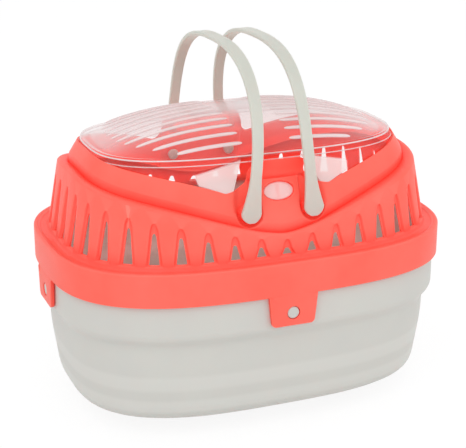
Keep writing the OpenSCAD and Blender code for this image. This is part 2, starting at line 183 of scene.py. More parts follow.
# Rings whose corners are rounded: each corner becomes a parabola that starts and ends a radius away.
def rounded(corners, steps=4):
    rings = [corners[0][0]]
    for before, corner, after in zip(corners[:-2], corners[1:-1], corners[2:]):
        ring, radius = corner
        if radius == 0:
            rings.append(ring)
            continue
        start, end = [
            ring + way * np.minimum(radius / np.maximum(np.linalg.norm(way, axis=-1), 1e-6), 0.5)[..., None]
            for way in (before[0] - ring, after[0] - ring)]
        rings += [start * (1 - t) ** 2 + ring * 2 * t * (1 - t) + end * t * t for t in np.linspace(0, 1, steps + 1)]
    return rings + [corners[-1][0]]


# Corners of a profile of (inset, height, radius) carried round the outline.
def profileCorners(run, profile):
    return [(levelRing(run, inset, z), radius) for inset, z, radius in profile]


# Quads of a grid of rows and columns; they face outwards where rows climb and columns run anticlockwise.
def gridFaces(rows, columns, closedRows=False, keep=None):
    r = np.arange(rows if closedRows else rows - 1)[:, None]
    c = np.arange(columns)[None, :]
    nextR, nextC = (r + 1) % rows, (c + 1) % columns
    quads = np.stack([r * columns + c, r * columns + nextC, nextR * columns + nextC, nextR * columns + c], -1)
    return quads.reshape(-1, 4) if keep is None else quads[keep]


# A stack of rings as points and faces. It closes on itself, or a fan to its middle caps each end.
def skin(rings, closed=False):
    points = np.stack(rings)
    rows, columns = points.shape[:2]
    flat, faces = points.reshape(-1, 3), [gridFaces(rows, columns, closed)]
    if closed:
        return flat, faces
    c = np.arange(columns)
    nextC, last = (c + 1) % columns, (rows - 1) * columns
    faces.append(np.stack([nextC, c, np.full(columns, len(flat))], -1))
    faces.append(np.stack([last + c, last + nextC, np.full(columns, len(flat) + 1)], -1))
    return np.vstack([flat, points[0].mean(0), points[-1].mean(0)]), faces


# Turned solid: a profile of (distance along, radius) pairs round an axis that starts at a place.
def turned(start, axis, profile, around=40):
    axis = np.array(axis, float)
    side = np.cross(axis, [0, 0, 1.0] if abs(axis[2]) < 0.9 else [1.0, 0, 0])
    side /= np.linalg.norm(side)
    other = np.cross(axis, side)
    angle = np.linspace(0, 2 * np.pi, around, endpoint=False)[:, None]
    return skin([np.array(start) + axis * along + radius * (np.cos(angle) * side + np.sin(angle) * other)
                 for along, radius in profile])


# Profile of a rod of a given length and radius whose ends are eased over.
def rodProfile(length, radius, ease=0.5):
    end = [(0, radius - 2 * ease), (0, radius - ease), (ease * 0.3, radius - ease * 0.3), (ease, radius)]
    return end + [(length - along, r) for along, r in end[::-1]]


# Turns a surface round the z axis, for what front, rear and ends share.
def turnPlan(surface, degrees):
    c, s = math.cos(math.radians(degrees)), math.sin(math.radians(degrees))
    return surface[0] @ np.array([[c, s, 0], [-s, c, 0], [0, 0, 1]]), surface[1]


# Half-size of the band on the side that a quarter turn brings to the front.
def sideReach(turn):
    return outlineSettings["halfX" if turn % 180 == 90 else "halfY"]


# Number of points in a list of surfaces.
def pointCount(surfaces):
    return sum(len(points) for points, faces in surfaces)


# Edges sharper than this stay crisp.
sharpDeg = 40


# One mesh object from several surfaces. Its place is in its mesh and it stays at the origin.
def makePiece(name, surfaces, material, body, attributes):
    loops, sizes, start = [], [], 0
    for points, faces in surfaces:
        for f in faces:
            loops.append((f + start).ravel())
            sizes.append(np.full(len(f), f.shape[1]))
        start += len(points)
    points, loops, sizes = np.vstack([p for p, f in surfaces]), np.concatenate(loops), np.concatenate(sizes)
    mesh = bpy.data.meshes.new(name)
    mesh.vertices.add(len(points))
    mesh.vertices.foreach_set("co", (points * mm).ravel())
    mesh.loops.add(len(loops))
    mesh.loops.foreach_set("vertex_index", loops.astype(np.int32))
    mesh.polygons.add(len(sizes))
    mesh.polygons.foreach_set("loop_start", np.concatenate([[0], np.cumsum(sizes)[:-1]]).astype(np.int32))
    mesh.update(calc_edges=True)
    mesh.validate()
    mesh.shade_smooth()
    mesh.set_sharp_from_angle(angle=math.radians(sharpDeg))
    for label, values in attributes.items():
        mesh.attributes.new(label, "FLOAT", "POINT").data.foreach_set("value", values.astype(np.float32))
    mesh.materials.append(material)
    piece = bpy.data.objects.new(name, mesh)
    bpy.context.scene.collection.objects.link(piece)
    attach(piece, body)
    print("stage:", name, len(points), "points")
    return piece


# sRGB hex to the linear colour that a socket takes.
def linear(hexColour):
    parts = [int(hexColour[i:i + 2], 16) / 255 for i in (0, 2, 4)]
    return tuple(c / 12.92 if c <= 0.04045 else ((c + 0.055) / 1.055) ** 2.4 for c in parts) + (1.0,)


# Adds a shader node of a kind, with its settings, its inputs' values and its links. A link comes from a socket, or
# from a node's first output.
def addNode(tree, kind, settings=None, values=None, links=None):
    node = tree.nodes.new("ShaderNode" + kind)
    for key, value in (settings or {}).items():
        setattr(node, key, value)
    for key, value in (values or {}).items():
        node.inputs[key].default_value = value
    for key, source in (links or {}).items():
        tree.links.new(getattr(source, "outputs", [source])[0], node.inputs[key])
    return node


# 1 for rays of any of the named Light Path kinds, 0 for others.
def rayIs(tree, *kinds):
    path = addNode(tree, "LightPath")
    found = path.outputs[kinds[0]]
    for kind in kinds[1:]:
        found = addNode(tree, "Math", {"operation": "MAXIMUM"}, links={0: found, 1: path.outputs[kind]})
    return found


# Rays that carry light from lamps and surroundings to a surface, and rays that show a surface to the eye.
lightRays = ("Is Shadow Ray", "Is Diffuse Ray")
eyeRays = ("Is Camera Ray", "Is Glossy Ray", "Is Transmission Ray")


def newMaterial(name):
    material = bpy.data.materials.new(name)
    material.use_nodes = True
    material.node_tree.nodes.clear()
    return material, material.node_tree


# colours are the two ends of the mottling, deep is painted into creases by occlusion as shade and as light bounced
# between parts, and it tints light that comes through; edge is a painted highlight on convex edges. passes is the share
# of lamp light that each face lets through.
plasticSettings = {
    "coralPolypropylene": {
        "colours": ("FD6B5C", "FF7466"), "deep": "FF4030", "edge": "FF9486", "roughness": 0.42, "mottleMm": 38.0,
        "passes": 0.7, "creaseShadeMm": 14.0, "shine": 0.2},
    "stoneGreyPolypropylene": {
        "colours": ("CCCDC8", "CFD0CA"), "deep": "C4C5BE", "edge": "D8D9D4", "roughness": 0.45, "mottleMm": 45.0,
        "passes": 0.4, "creaseShadeMm": 12.0, "shine": 0.5},
    "paleGreyPolypropylene": {
        "colours": ("BBBFB7", "BFC3BB"), "deep": "CDCDC6", "edge": "D4D7CF", "roughness": 0.4, "mottleMm": 30.0,
        "passes": 0.5, "creaseShadeMm": 6.0, "shine": 0.5}}
# The tool's texture is about 0.1 mm on the real plastic and is drawn at 0.9 mm so that it shows.
grainSettings = {"sizeMm": 0.9, "heightMm": 0.05, "strength": 0.35}


# Moulded polypropylene: a satin skin from a finely eroded tool, faint flow mottling where the melt cooled unevenly, a
# glow where light comes through (the thin attribute is high on inner faces and lips), a deeper colour painted into
# creases by occlusion, standing for shade and for light that plastic bounces onto plastic, and a painted highlight, a
# paler colour, on convex edges.
def mouldedPolypropylene(name):
    look = plasticSettings[name]
    material, tree = newMaterial(name)
    place = addNode(tree, "TexCoord").outputs["Object"]
    mottle = addNode(tree, "TexNoise", links={"Vector": place}, values={
        "Scale": 1000 / look["mottleMm"], "Detail": 3.0, "Roughness": 0.55})
    grain = addNode(tree, "TexNoise", links={"Vector": place}, values={
        "Scale": 1000 / grainSettings["sizeMm"], "Detail": 2.0, "Roughness": 0.6})
    tone = addNode(tree, "ValToRGB", links={"Fac": mottle})
    for stop, position, colour in zip(tone.color_ramp.elements, (0.32, 0.7), look["colours"]):
        stop.position, stop.color = position, linear(colour)
    # Painted shade: occlusion mixes the deep colour into creases and hollows.
    paintedCreaseShade = addNode(tree, "AmbientOcclusion", {"samples": 8}, {"Distance": look["creaseShadeMm"] * mm})
    # Painted highlight: convexity mixes the paler edge colour onto convex edges.
    curve = addNode(tree, "NewGeometry").outputs["Pointiness"]
    paintedEdgeHighlight = addNode(tree, "MapRange", links={"Value": curve}, values={
        "From Min": 0.52, "From Max": 0.6, "To Max": 0.55})
    shaded = addNode(tree, "Mix", {"data_type": "RGBA"}, {6: linear(look["deep"])}, {0: paintedCreaseShade.outputs["AO"], 7: tone})
    colour = addNode(tree, "Mix", {"data_type": "RGBA"}, {7: linear(look["edge"])}, {0: paintedEdgeHighlight, 6: shaded.outputs[2]})
    rough = addNode(tree, "MapRange", links={"Value": grain}, values={
        "From Min": 0.3, "From Max": 0.7, "To Min": look["roughness"] - 0.05, "To Max": look["roughness"] + 0.06})
    bump = addNode(tree, "Bump", links={"Height": grain}, values={
        "Strength": grainSettings["strength"], "Distance": grainSettings["heightMm"] * mm})
    face = addNode(tree, "BsdfPrincipled", values={
        "IOR": 1.49, "Subsurface Weight": 0.1, "Subsurface Radius": (1.0, 0.35, 0.3), "Subsurface Scale": 0.003,
        "Specular IOR Level": look["shine"]}, links={
        "Base Color": colour.outputs[2], "Roughness": rough, "Normal": bump})
    thin = addNode(tree, "Attribute", {"attribute_name": "thin"}).outputs["Fac"]
    glow = addNode(tree, "Math", {"operation": "MULTIPLY"}, {1: 0.45}, {0: thin})
    glowColour = addNode(tree, "Mix", {"data_type": "RGBA"}, {6: (0, 0, 0, 1), 7: linear(look["deep"])}, {0: glow})
    behind = addNode(tree, "BsdfTranslucent", links={"Color": glowColour.outputs[2]})
    lit = addNode(tree, "AddShader", links={0: face, 1: behind})
    share = addNode(tree, "Math", {"operation": "MULTIPLY"}, {1: look["passes"]}, {0: rayIs(tree, *lightRays)})
    through = addNode(tree, "BsdfTransparent", values={"Color": linear(look["deep"])})
    mixed = addNode(tree, "MixShader", links={0: share, 1: lit, 2: through})
    addNode(tree, "OutputMaterial", links={"Surface": mixed})
    return material


# glare is how much painted white reflection the dome takes at a slant, veil a faint painted reflection all over,
# uneven in patches of smearMm, and stops the share of a surface's cover that still stops lamp light. The covers are how
# white each place is painted.
clearSettings = {
    "glare": 1.55, "slantPower": 3.5, "veil": 0.03, "smearMm": 22.0, "most": 0.62, "edgeCover": 0.64,
    "boxReflectionCover": 0.56, "boxReflectionColour": "FCEAE8", "veilColour": "F8EFEF", "tint": "FDF8F8", "stops": 0.25}


# Clear polystyrene: injection moulded in a polished tool, so it lets most light through. The room's reflection is
# painted on as a white cover that grows towards a slant, over a faint painted reflection all over. One attribute is how
# far inside a painted soft-box reflection on a panel a place is, the edge attribute marks the ribs and rims with a
# painted highlight that makes them white, and a third is the share of the slanted painted reflection a place takes.
# Lamp light passes more freely.
def clearPolystyrene(name):
    look = clearSettings
    material, tree = newMaterial(name)
    place = addNode(tree, "TexCoord").outputs["Object"]
    boxReflection, edge, glareShare = [addNode(tree, "Attribute", {"attribute_name": label}).outputs["Fac"]
                           for label in ("boxReflection", "edge", "glareShare")]
    # Painted reflection of a soft box: a milky white cover on the panels beside the front pier.
    boxReflection = addNode(tree, "MapRange", values={"From Min": -0.5, "From Max": 0.5}, links={"Value": boxReflection})
    smear = addNode(tree, "TexNoise", links={"Vector": place}, values={
        "Scale": 1000 / look["smearMm"], "Detail": 4.0, "Roughness": 0.6})
    # Painted reflection: a white cover that grows towards a slant stands for the room's reflection.
    slant = addNode(tree, "LayerWeight", values={"Blend": 0.5})
    strong = addNode(tree, "Math", {"operation": "MULTIPLY"}, {1: look["glare"]}, {0: glareShare})
    steep = addNode(tree, "Math", {"operation": "POWER"}, {1: look["slantPower"]}, {0: slant.outputs["Facing"]})
    # Painted reflection: a faint white all over, uneven in patches.
    haze = addNode(tree, "MapRange", links={"Value": smear}, values={
        "From Min": 0.3, "From Max": 0.7, "To Min": look["veil"] * 0.6, "To Max": look["veil"] * 1.4})
    slanted = addNode(tree, "Math", {"operation": "MULTIPLY_ADD"}, links={0: steep, 1: strong, 2: haze})
    seen = addNode(tree, "Math", {"operation": "MINIMUM"}, {1: look["most"]}, {0: slanted})
    thick = addNode(tree, "Mix", {"data_type": "FLOAT"}, {"B": look["edgeCover"]}, {"Factor": edge, "A": seen})
    cover = addNode(tree, "Mix", {"data_type": "FLOAT"}, {"B": look["boxReflectionCover"]}, {"Factor": boxReflection, "A": thick})
    rough = addNode(tree, "MapRange", values={"To Min": 0.05, "To Max": 0.5}, links={"Value": boxReflection})
    colour = addNode(tree, "Mix", {"data_type": "RGBA"}, {
        6: linear(look["veilColour"]), 7: linear(look["boxReflectionColour"])}, {0: boxReflection})
    gloss = addNode(tree, "BsdfPrincipled", values={"IOR": 1.58}, links={
        "Base Color": colour.outputs[2], "Roughness": rough})
    through = addNode(tree, "BsdfTransparent", values={"Color": linear(look["tint"])})
    stopped = addNode(tree, "MapRange", values={"To Min": 1.0, "To Max": look["stops"]}, links={
        "Value": rayIs(tree, *lightRays)})
    share = addNode(tree, "Math", {"operation": "MULTIPLY"}, links={0: cover, 1: stopped})
    mixed = addNode(tree, "MixShader", links={0: share, 1: through, 2: gloss})
    addNode(tree, "OutputMaterial", links={"Surface": mixed})
    return material


coralPlastic = mouldedPolypropylene("coralPolypropylene")
greyPlastic = mouldedPolypropylene("stoneGreyPolypropylene")
handlePlastic = mouldedPolypropylene("paleGreyPolypropylene")
clearPlastic = clearPolystyrene("clearPolystyrene")
print("stage: materials")


# The profile is (inset, height, corner radius), up the outside and down the inside; the peg's is (along, radius).
tubSettings = {
    "columns": 400, "pegZ": 95.5, "pegRoot": 4.2,
    "profile": [
        (62.0, 0.0, 0), (49.7, 0.0, 1.5), (23.0, 14.2, 0), (14.5, 18.7, 12.0), (12.2, 36.0, 20.0), (9.4, 56.0, 14.0),
        (8.6, 76.0, 3.0), (3.0, 83.5, 3.5), (3.0, 129.1, 0.9), (5.4, 129.1, 0.9), (5.4, 84.5, 4.0), (11.0, 77.0, 3.0),
        (11.8, 56.0, 14.0), (14.6, 36.0, 20.0), (18.0, 19.8, 12.0), (26.4, 15.8, 0), (50.0, 2.6, 2.0), (64.0, 2.4, 0)],
    "peg": [(0, 4.4), (3.4, 4.4), (3.75, 4.3), (3.95, 4.0), (4.0, 3.6), (4.0, 1.5)]}


# The tub is its profile carried round the outline, outside up and inside down, with a rounded lip.
def tubSurface():
    run = np.linspace(0, roundLength, tubSettings["columns"], endpoint=False)
    return skin(rounded(profileCorners(run, tubSettings["profile"]), 5))


# The thin attribute: 1 on the first surface's points from a place to an end in its list, and a low level elsewhere.
def thinFrom(surfaces, place, end=None, low=0.35):
    values = np.full(pointCount(surfaces), low)
    values[place:len(surfaces[0][0]) if end is None else end] = 1
    return values


tubSurfaces = [tubSurface()]
for turn in (0, 90, 180, 270):
    root = (0, tubSettings["pegRoot"] - sideReach(turn), tubSettings["pegZ"])
    tubSurfaces.append(turnPlan(turned(root, (0, -1, 0), tubSettings["peg"]), turn))
tubThin = thinFrom(tubSurfaces, len(tubSurfaces[0][0]) // 2)
tub = makePiece("tubBody", tubSurfaces, greyPlastic, "carrier", {"thin": tubThin})
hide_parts("tub")


# Upper shell, lower half: band, gutter and vent wall. The profiles are (inset, height, corner radius) of the band.
bandSettings = {
    "outside": [(1.2, 108.5, 0), (0, 108.5, 0.7), (0, 132.6, 1.7), (3.0, 132.9, 1.4), (4.6, 131.3, 1.2),
                (9.4, 131.3, 1.4)],
    "inside": [(10.2, 129.7, 1.0), (2.4, 129.7, 1.5), (2.4, 108.5, 0.7), (1.2, 108.5, 0)],
    "sillZ": 134.2, "innerSillZ": 132.6}
perSlot = ventSettings["perSlot"]
shellColumns = ventSettings["count"] * perSlot
columnSlot = np.round(np.arange(shellColumns) / perSlot)
columnStep = np.arange(shellColumns) - columnSlot * perSlot
evenRun = np.arange(shellColumns) * roundLength / shellColumns
# Columns out from a slot's middle: its edge, then the recess's floor and bevel up to the rim, and how deep each lies.
slotEdge = 3
bevelSteps = slotEdge + np.arange(6)
bevelDepth = np.interp(np.abs(columnStep), bevelSteps, [1.0, 1.0, 0.94, 0.6, 0.16, 0.0])


# Column places for a row where each slot's edges lie at half-width w and its recess ends at half-width wide.
def slotRun(w, wide):
    bevel = min(1.35, 0.6 * (wide - w))
    steps = [0, *bevelSteps, perSlot // 2]
    rim = [wide - bevel, wide - bevel * 0.67, wide - bevel * 0.33, wide]
    places = [0, w, (w + wide - bevel) / 2, *rim, slotPitch / 2]
    return columnSlot * slotPitch + np.sign(columnStep) * np.interp(np.abs(columnStep), steps, places)


# Wall with slots: rows climb each slot by shares of its height, so all slots end on one row however tall they are.
# Each slot lies in a bevelled recess that is a little wider and ends in a round head above it, at shares over 1.
def ventRows():
    v = ventSettings
    outer, inner = [], []
    shares = 1 - (1 - np.linspace(0, 1, v["rows"])) ** 1.5
    for share in list(shares) + [1.1, 1.3, 1.52, 1.72, 1.86, 1.95, 2.0]:
        over = max(0.0, share - 1)
        taper = v["halfFoot"] + (v["halfTop"] - v["halfFoot"]) * min(share, 1)
        w = taper * math.sqrt(max(0.0, 1 - (max(0.0, share - 0.9) / 0.1) ** 2)) if share <= 1 else 0
        wide = (taper + v["recessSide"]) * math.sqrt(max(0.0, 1 - over ** 1.7))
        run = slotRun(max(w, v["leastHalf"]), max(wide, v["leastRecess"]))
        rise = shoulderZ(planAngle(levelRing(run, outlineSettings["wallFoot"], 0))) - shoulderSettings["lowZ"]
        height = v["lowHeight"] + v["rise"] * rise
        above = v["recessAbove"] + 0.05 * (height - v["lowHeight"])
        z = v["footZ"] + np.minimum(share, 1) * height + over * above
        depth = v["recessDepth"] * bevelDepth * min(1.0, 0.75 + share * 3) * (1 - over ** 5)
        outer.append(wallRing(run, z, depth))
        if share <= 1:
            inner.append(wallRing(run, z, outlineSettings["wall"]))
    return outer, inner


# Faces that join the outer rows to the inner ones at each slot: its two sides, its sill and its head. outStart and
# inStart are the rows of the outer and the inner sill; the inner rows count down.
def slotFaces(outStart, inStart, rows):
    up = np.arange(rows - 1)[:, None]
    centre = (np.arange(ventSettings["count"]) * perSlot)[None, :]
    left, right = (centre - slotEdge) % shellColumns, centre + slotEdge
    step = np.arange(-slotEdge, slotEdge)[:, None]
    here, there = (centre + step) % shellColumns, (centre + step + 1) % shellColumns

    def quads(*corners):
        points = [(outStart + row if out else inStart - row) * shellColumns + column for out, row, column in corners]
        return np.stack(points, -1).reshape(-1, 4)

    return [
        quads((1, up + 1, left), (1, up, left), (0, up, left), (0, up + 1, left)),
        quads((1, up, right), (1, up + 1, right), (0, up + 1, right), (0, up, right)),
        quads((1, 0, here), (1, 0, there), (0, 0, there), (0, 0, here)),
        quads((1, rows - 1, there), (1, rows - 1, here), (0, rows - 1, here), (0, rows - 1, there))]


# Band and vent wall as one closed stack of rings without the slots' faces, and where the wall's inner rows start and
# end in the list of points.
def bandSurface():
    b, s, wall = bandSettings, shoulderSettings, outlineSettings["wall"]
    outer, inner = ventRows()
    sill = [(wallRing(evenRun, b["sillZ"]), 0.8), (outer[0], 0)]
    low = rounded(profileCorners(evenRun, b["outside"]) + sill)[:-1]
    # The wall's top turns over as a quarter ellipse, then dips into the groove and goes on behind the collar's foot.
    turn = np.linspace(0.15, 1, 8) * np.pi / 2
    high = [shoulderRing(evenRun, s["rimShare"] * (1 - math.cos(a)), -s["rimRound"] * (1 - math.sin(a))) for a in turn]
    high += [shoulderRing(evenRun, s["rimShare"] + (1 - s["rimShare"]) * u, -s["grooveFall"] * u ** 1.5)
             for u in (0.25, 0.5, 0.75, 1.0)]
    high.append(shoulderRing(evenRun, 1.0, -2.2) * [0.99, 0.985, 1])
    under = [shoulderRing(evenRun, 1.0, -4.0) * [0.98, 0.975, 1], shoulderRing(evenRun, 0.0, -5.2, 3.4),
             shoulderRing(evenRun, 0.0, -7.0, wall)]
    innerSill = [(inner[0], 0), (wallRing(evenRun, b["innerSillZ"], wall), 1.0)]
    bottom = rounded(innerSill + profileCorners(evenRun, b["inside"]))[1:-1]
    rings = low + outer + high + under + inner[::-1] + bottom
    inSlot = (columnStep >= -slotEdge) & (columnStep < slotEdge)
    first, innerTop = len(low), len(low) + len(outer) + len(high) + len(under)
    innerLast = innerTop + len(inner) - 1
    keep = np.ones((len(rings), shellColumns), bool)
    keep[first:first + len(inner) - 1, inSlot] = False
    keep[innerTop:innerLast, inSlot] = False
    faces = [gridFaces(len(rings), shellColumns, True, keep)] + slotFaces(first, innerLast, len(inner))
    return np.vstack(rings), faces, (innerTop * shellColumns, innerLast * shellColumns)


tabSettings = {"top": 19.0, "low": 16.5, "corner": 3.5, "lowZ": 86.1, "highZ": 113.0, "holeZ": 95.5,
               "holeRadius": 4.8, "proud": 0.4, "thick": 2.8, "bendZ": 109.2, "bend": 1.1}


# Snap tab: rings round its hole go from the bore's back, over the face, out to the tab's outline and round to the back.
# The outline is a radius at each angle, and the tab's top bends back to the band.
def tabSurface(reach):
    t = tabSettings
    corner = np.radians(np.linspace(270, 360, 9))
    right = np.stack([t["low"] - t["corner"] + t["corner"] * np.cos(corner),
                      t["lowZ"] + t["corner"] + t["corner"] * np.sin(corner)], -1)
    half = np.vstack([[0, t["lowZ"]], right, [t["top"], t["highZ"] - 0.01], [0, t["highZ"]]])
    around = np.vstack([half, (half * [-1, 1])[::-1]])
    start = np.arctan2(around[0, 1] - t["holeZ"], around[0, 0])
    angle = np.linspace(start, start + 2 * np.pi, 160, endpoint=False)
    dense = np.linspace(0, len(around) - 1, 4000)
    px, pz = [np.interp(dense, np.arange(len(around)), values) for values in around.T]
    edge = np.interp(angle, np.unwrap(np.arctan2(pz - t["holeZ"], px)), np.hypot(px, pz - t["holeZ"]))

    def ring(share, depth):
        r = t["holeRadius"] + (edge - t["holeRadius"]) * share
        x, z = r * np.cos(angle), t["holeZ"] + r * np.sin(angle)
        face = -reach - t["proud"] + t["bend"] * easedStep(z, t["bendZ"], 2.6)
        return np.stack([x, face + depth, z], -1)

    back = t["thick"]
    corners = [(ring(0, back), 0), (ring(0, 0), 0.5), (ring(0.5, 0), 0), (ring(1, 0), 0.6), (ring(1, back), 0.5),
               (ring(0.5, back), 0)]
    return skin([row[::-1] for row in rounded(corners)], closed=True)


bandPoints, bandFaces, bandInside = bandSurface()
shellSurfaces = [(bandPoints, bandFaces)]
for turn in (0, 90, 180, 270):
    shellSurfaces.append(turnPlan(tabSurface(sideReach(turn)), turn))
bandThin = thinFrom(shellSurfaces, *bandInside)
band = makePiece("shellBand", shellSurfaces, coralPlastic, "carrier", {"thin": bandThin})
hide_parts("upper_shell")


# Upper shell, upper half: collar and piers. A pier's outline is (distance from the middle, height), from the lip's top
# out to the dip.
pierSettings = {
    "padTop": 15.6, "padFoot": 14.2, "recess": 3.0, "recessHalf": 33.0, "footRadius": 9.2, "lipFoot": 186.0,
    "lipOut": 14.0, "lipHigh": 15, "lipHalf": 21.3, "rearLipHalf": 33.0, "tongueDepth": 1.8, "nearY": 40,
    "pivotX": 23.7, "pivotZ": 165.0, "bossRadius": 7.1, "bossStand": 0.2,
    "ovalX": 11.2, "ovalZ": 6.0, "ovalHeight": 176.7, "ovalDepth": 2.6,
    "front": [(0, 201.0), (12, 200.8), (16, 200.2), (18.6, 198.8), (20.2, 196.4), (21.0, 193.0), (21.6, 188.5),
              (22.6, 185.6), (25, 183.8), (28, 182.0), (33, 179.4), (38, 178.0), (60, 170.0)],
    "rear": [(0, 202.6), (20, 202.4), (27, 201.6), (30.2, 199.8), (32.0, 196.6), (33.0, 191.0), (34.0, 184.6),
             (36, 180.8), (39, 178.6), (42, 178.0), (60, 170.0)]}
collarSettings = {"wall": 2.4, "pierWall": 2.6, "grooveReach": 2.6, "grooveDepth": 2.6, "outerRows": 66,
                  "innerRows": 26}


# Height of a pier's outline at a distance from its middle, through the outline's points by straight steps.
def pierEdgeZ(x, place):
    across, height = np.array(pierSettings[place]).T
    return np.interp(np.abs(x), across, height)


# Depth of the pier's face below the collar's surface: a recess round each handle's foot that stays open at the top, a
# pad between them that narrows downwards, bosses and the oval window. Each edge is an eased step.
def pierDepth(side, z):
    p, x = pierSettings, np.abs(side)
    outer = (z > p["pivotZ"]) * (p["recessHalf"] - 0.22 * np.maximum(z - 172, 0))
    upper = (1 - easedStep(x, outer, 6.0)) * easedStep(z, p["pivotZ"], 1.0)
    foot = 1 - easedStep(np.hypot(x - p["pivotX"], z - p["pivotZ"]), p["footRadius"], 3.0)
    padHalf = p["padFoot"] + (p["padTop"] - p["padFoot"]) * np.clip((z - p["pivotZ"]) / 20, 0, 1)
    recess = np.maximum(upper, foot) * easedStep(x, padHalf + 0.6, 1.2)
    recess = recess * (1 - (1 - easedStep(x, p["lipHalf"] - 0.4, 1.6)) * easedStep(z, p["lipFoot"], 1.6))
    boss = 1 - easedStep(np.hypot(x - p["pivotX"], (z - p["pivotZ"]) * 1.085), p["bossRadius"], 0.8)
    oval = 1 - easedStep(np.hypot(side / p["ovalX"], (z - p["ovalHeight"]) / p["ovalZ"]), 1.0, 0.1)
    return p["recess"] * recess * (1 - boss) - p["bossStand"] * boss + p["ovalDepth"] * oval


# How far the lip over a pier curls outwards in plan: a power 1.35 of the height above its foot.
def lipCurl(x, z, half):
    p = pierSettings
    rise = np.maximum(z - p["lipFoot"], 0) / p["lipHigh"]
    return p["lipOut"] * rise ** 1.35 * (1 - easedStep(np.abs(x), half, 2.4))


# Collar columns lie closer together beside the pad's and the recesses' edges, at front and rear alike.
def collarRun():
    half = roundLength / 2
    run = (evenRun + half / 2) % half - half / 2
    even, closer = [0, 10.5, 14.5, 19.0, 23.0, 29.5, 36.0, 60], [0, 11.5, 14.0, 19.5, 22.5, 30.5, 35.5, 60]
    near = np.where(np.abs(run) < even[-1], np.sign(run) * np.interp(np.abs(run), even, closer), run)
    return evenRun + near - run


# Collar: rings climb from the groove to the edge outside and come down inside. Each point is pushed in, square to the
# lean, by the pier's depth, the groove's or the wall's.
def collarSurface():
    c, p, s = collarSettings, pierSettings, shoulderSettings
    run = collarRun()
    nx, ny = outward(run)
    lean = np.arctan(s["leanY"] + (s["leanX"] - s["leanY"]) * np.abs(nx))
    inwards = np.stack([-nx * np.cos(lean), -ny * np.cos(lean), -np.sin(lean)], -1)
    foot = shoulderRing(run, 1.0, -1.3)
    footZ = foot[:, 2]
    grooveZ = footZ + 1.3 + rimDrop(planAngle(foot)) + c["grooveReach"]
    edge = collarRing(run, 185.0 + 0 * run)
    atFront = edge[:, 1] < 0
    for i in range(3):
        pier = np.where(atFront, pierEdgeZ(edge[:, 0], "front"), pierEdgeZ(edge[:, 0], "rear"))
        pier = np.where(np.abs(edge[:, 1]) > p["nearY"], pier, 0)
        edgeZ = softMax(pier, collarEdgeZ(planAngle(edge)), 1.5)
        edge = collarRing(run, edgeZ)
    lipHalf = np.where(atFront, p["lipHalf"], p["rearLipHalf"])

    def place(z, depth, hollow):
        base = collarRing(run, z)
        ends = np.abs(base[:, 1]) > p["nearY"]
        base[:, 1] += np.where(atFront, -1, 1) * ends * lipCurl(base[:, 0], z, lipHalf)
        tongue = 1 - easedStep(np.abs(base[:, 0]), lipHalf - 0.4, 1.6)
        tongue = ends * atFront * tongue * easedStep(z, p["lipFoot"] - 0.4, 1.2)
        groove = np.clip((grooveZ - z) / (grooveZ - footZ), 0, 1) ** 1.2
        sunk = depth + p["tongueDepth"] * tongue + c["grooveDepth"] * groove
        sunk = sunk + np.where(ends & hollow, pierDepth(base[:, 0], z), 0)
        return base + inwards * sunk[:, None]

    def heights(start, end, rows):
        return [footZ + (edgeZ - footZ) * share for share in np.linspace(start, end, rows)]

    outer = [place(z, 0.0, True) for z in heights(0, 1, c["outerRows"])]
    nearPier = 1 - easedStep(np.abs(edge[:, 0]), 34.0, 3.0)
    inner = [place(z, c["wall"] + c["pierWall"] * nearPier * (1 - easedStep(z, 183.0, 8.0)), False)
             for z in heights(1, 0, c["innerRows"])]
    lip = rounded([(outer[-2], 0), (outer[-1], 0.8), (inner[0], 0.8), (inner[1], 0)])[1:-1]
    return skin(outer[:-1] + lip + inner[1:], closed=True)


# The lid's hinge: a barrel on the lid between two knuckles on the rear pier, all on one pin.
hingeSettings = {"y": 69.8, "z": 199.5, "knuckle": 3.0, "barrelHalf": 9.7, "gap": 0.3, "end": 16.0, "pin": 1.3,
                 "web": 2.6, "webHeight": 7.0}
hinge = hingeSettings


# Rod along the hinge's axis from one place to another.
def hingeRod(start, end, radius, ease=0.5, around=40):
    return turned((start, hinge["y"], hinge["z"]), (1, 0, 0), rodProfile(end - start, radius, ease), around)


knuckleFoot = hinge["barrelHalf"] + hinge["gap"]
collarSurfaces = [collarSurface()]
for start, end in ((-hinge["end"], -knuckleFoot), (knuckleFoot, hinge["end"])):
    collarSurfaces.append(hingeRod(start, end, hinge["knuckle"]))
    # A web carries each knuckle on the pier's top.
    webFoot = ((start + end) / 2, hinge["y"] + 0.4, hinge["z"] - hinge["webHeight"] - 0.5)
    collarSurfaces.append(turned(webFoot, (0, 0, 1), rodProfile(hinge["webHeight"], hinge["web"]), 24))
# The inner face, at the end of the surface's points, and the lips glow.
thin = thinFrom(collarSurfaces, len(collarSurfaces[0][0]) * 72 // 100)
x, y, z = np.abs(np.vstack([points for points, faces in collarSurfaces])).T
thin[(z > 187) & (x < 24) & (y > 60)] = 1
collar = makePiece("shellCollar", collarSurfaces, coralPlastic, "carrier", {"thin": thin})
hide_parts("upper_shell")


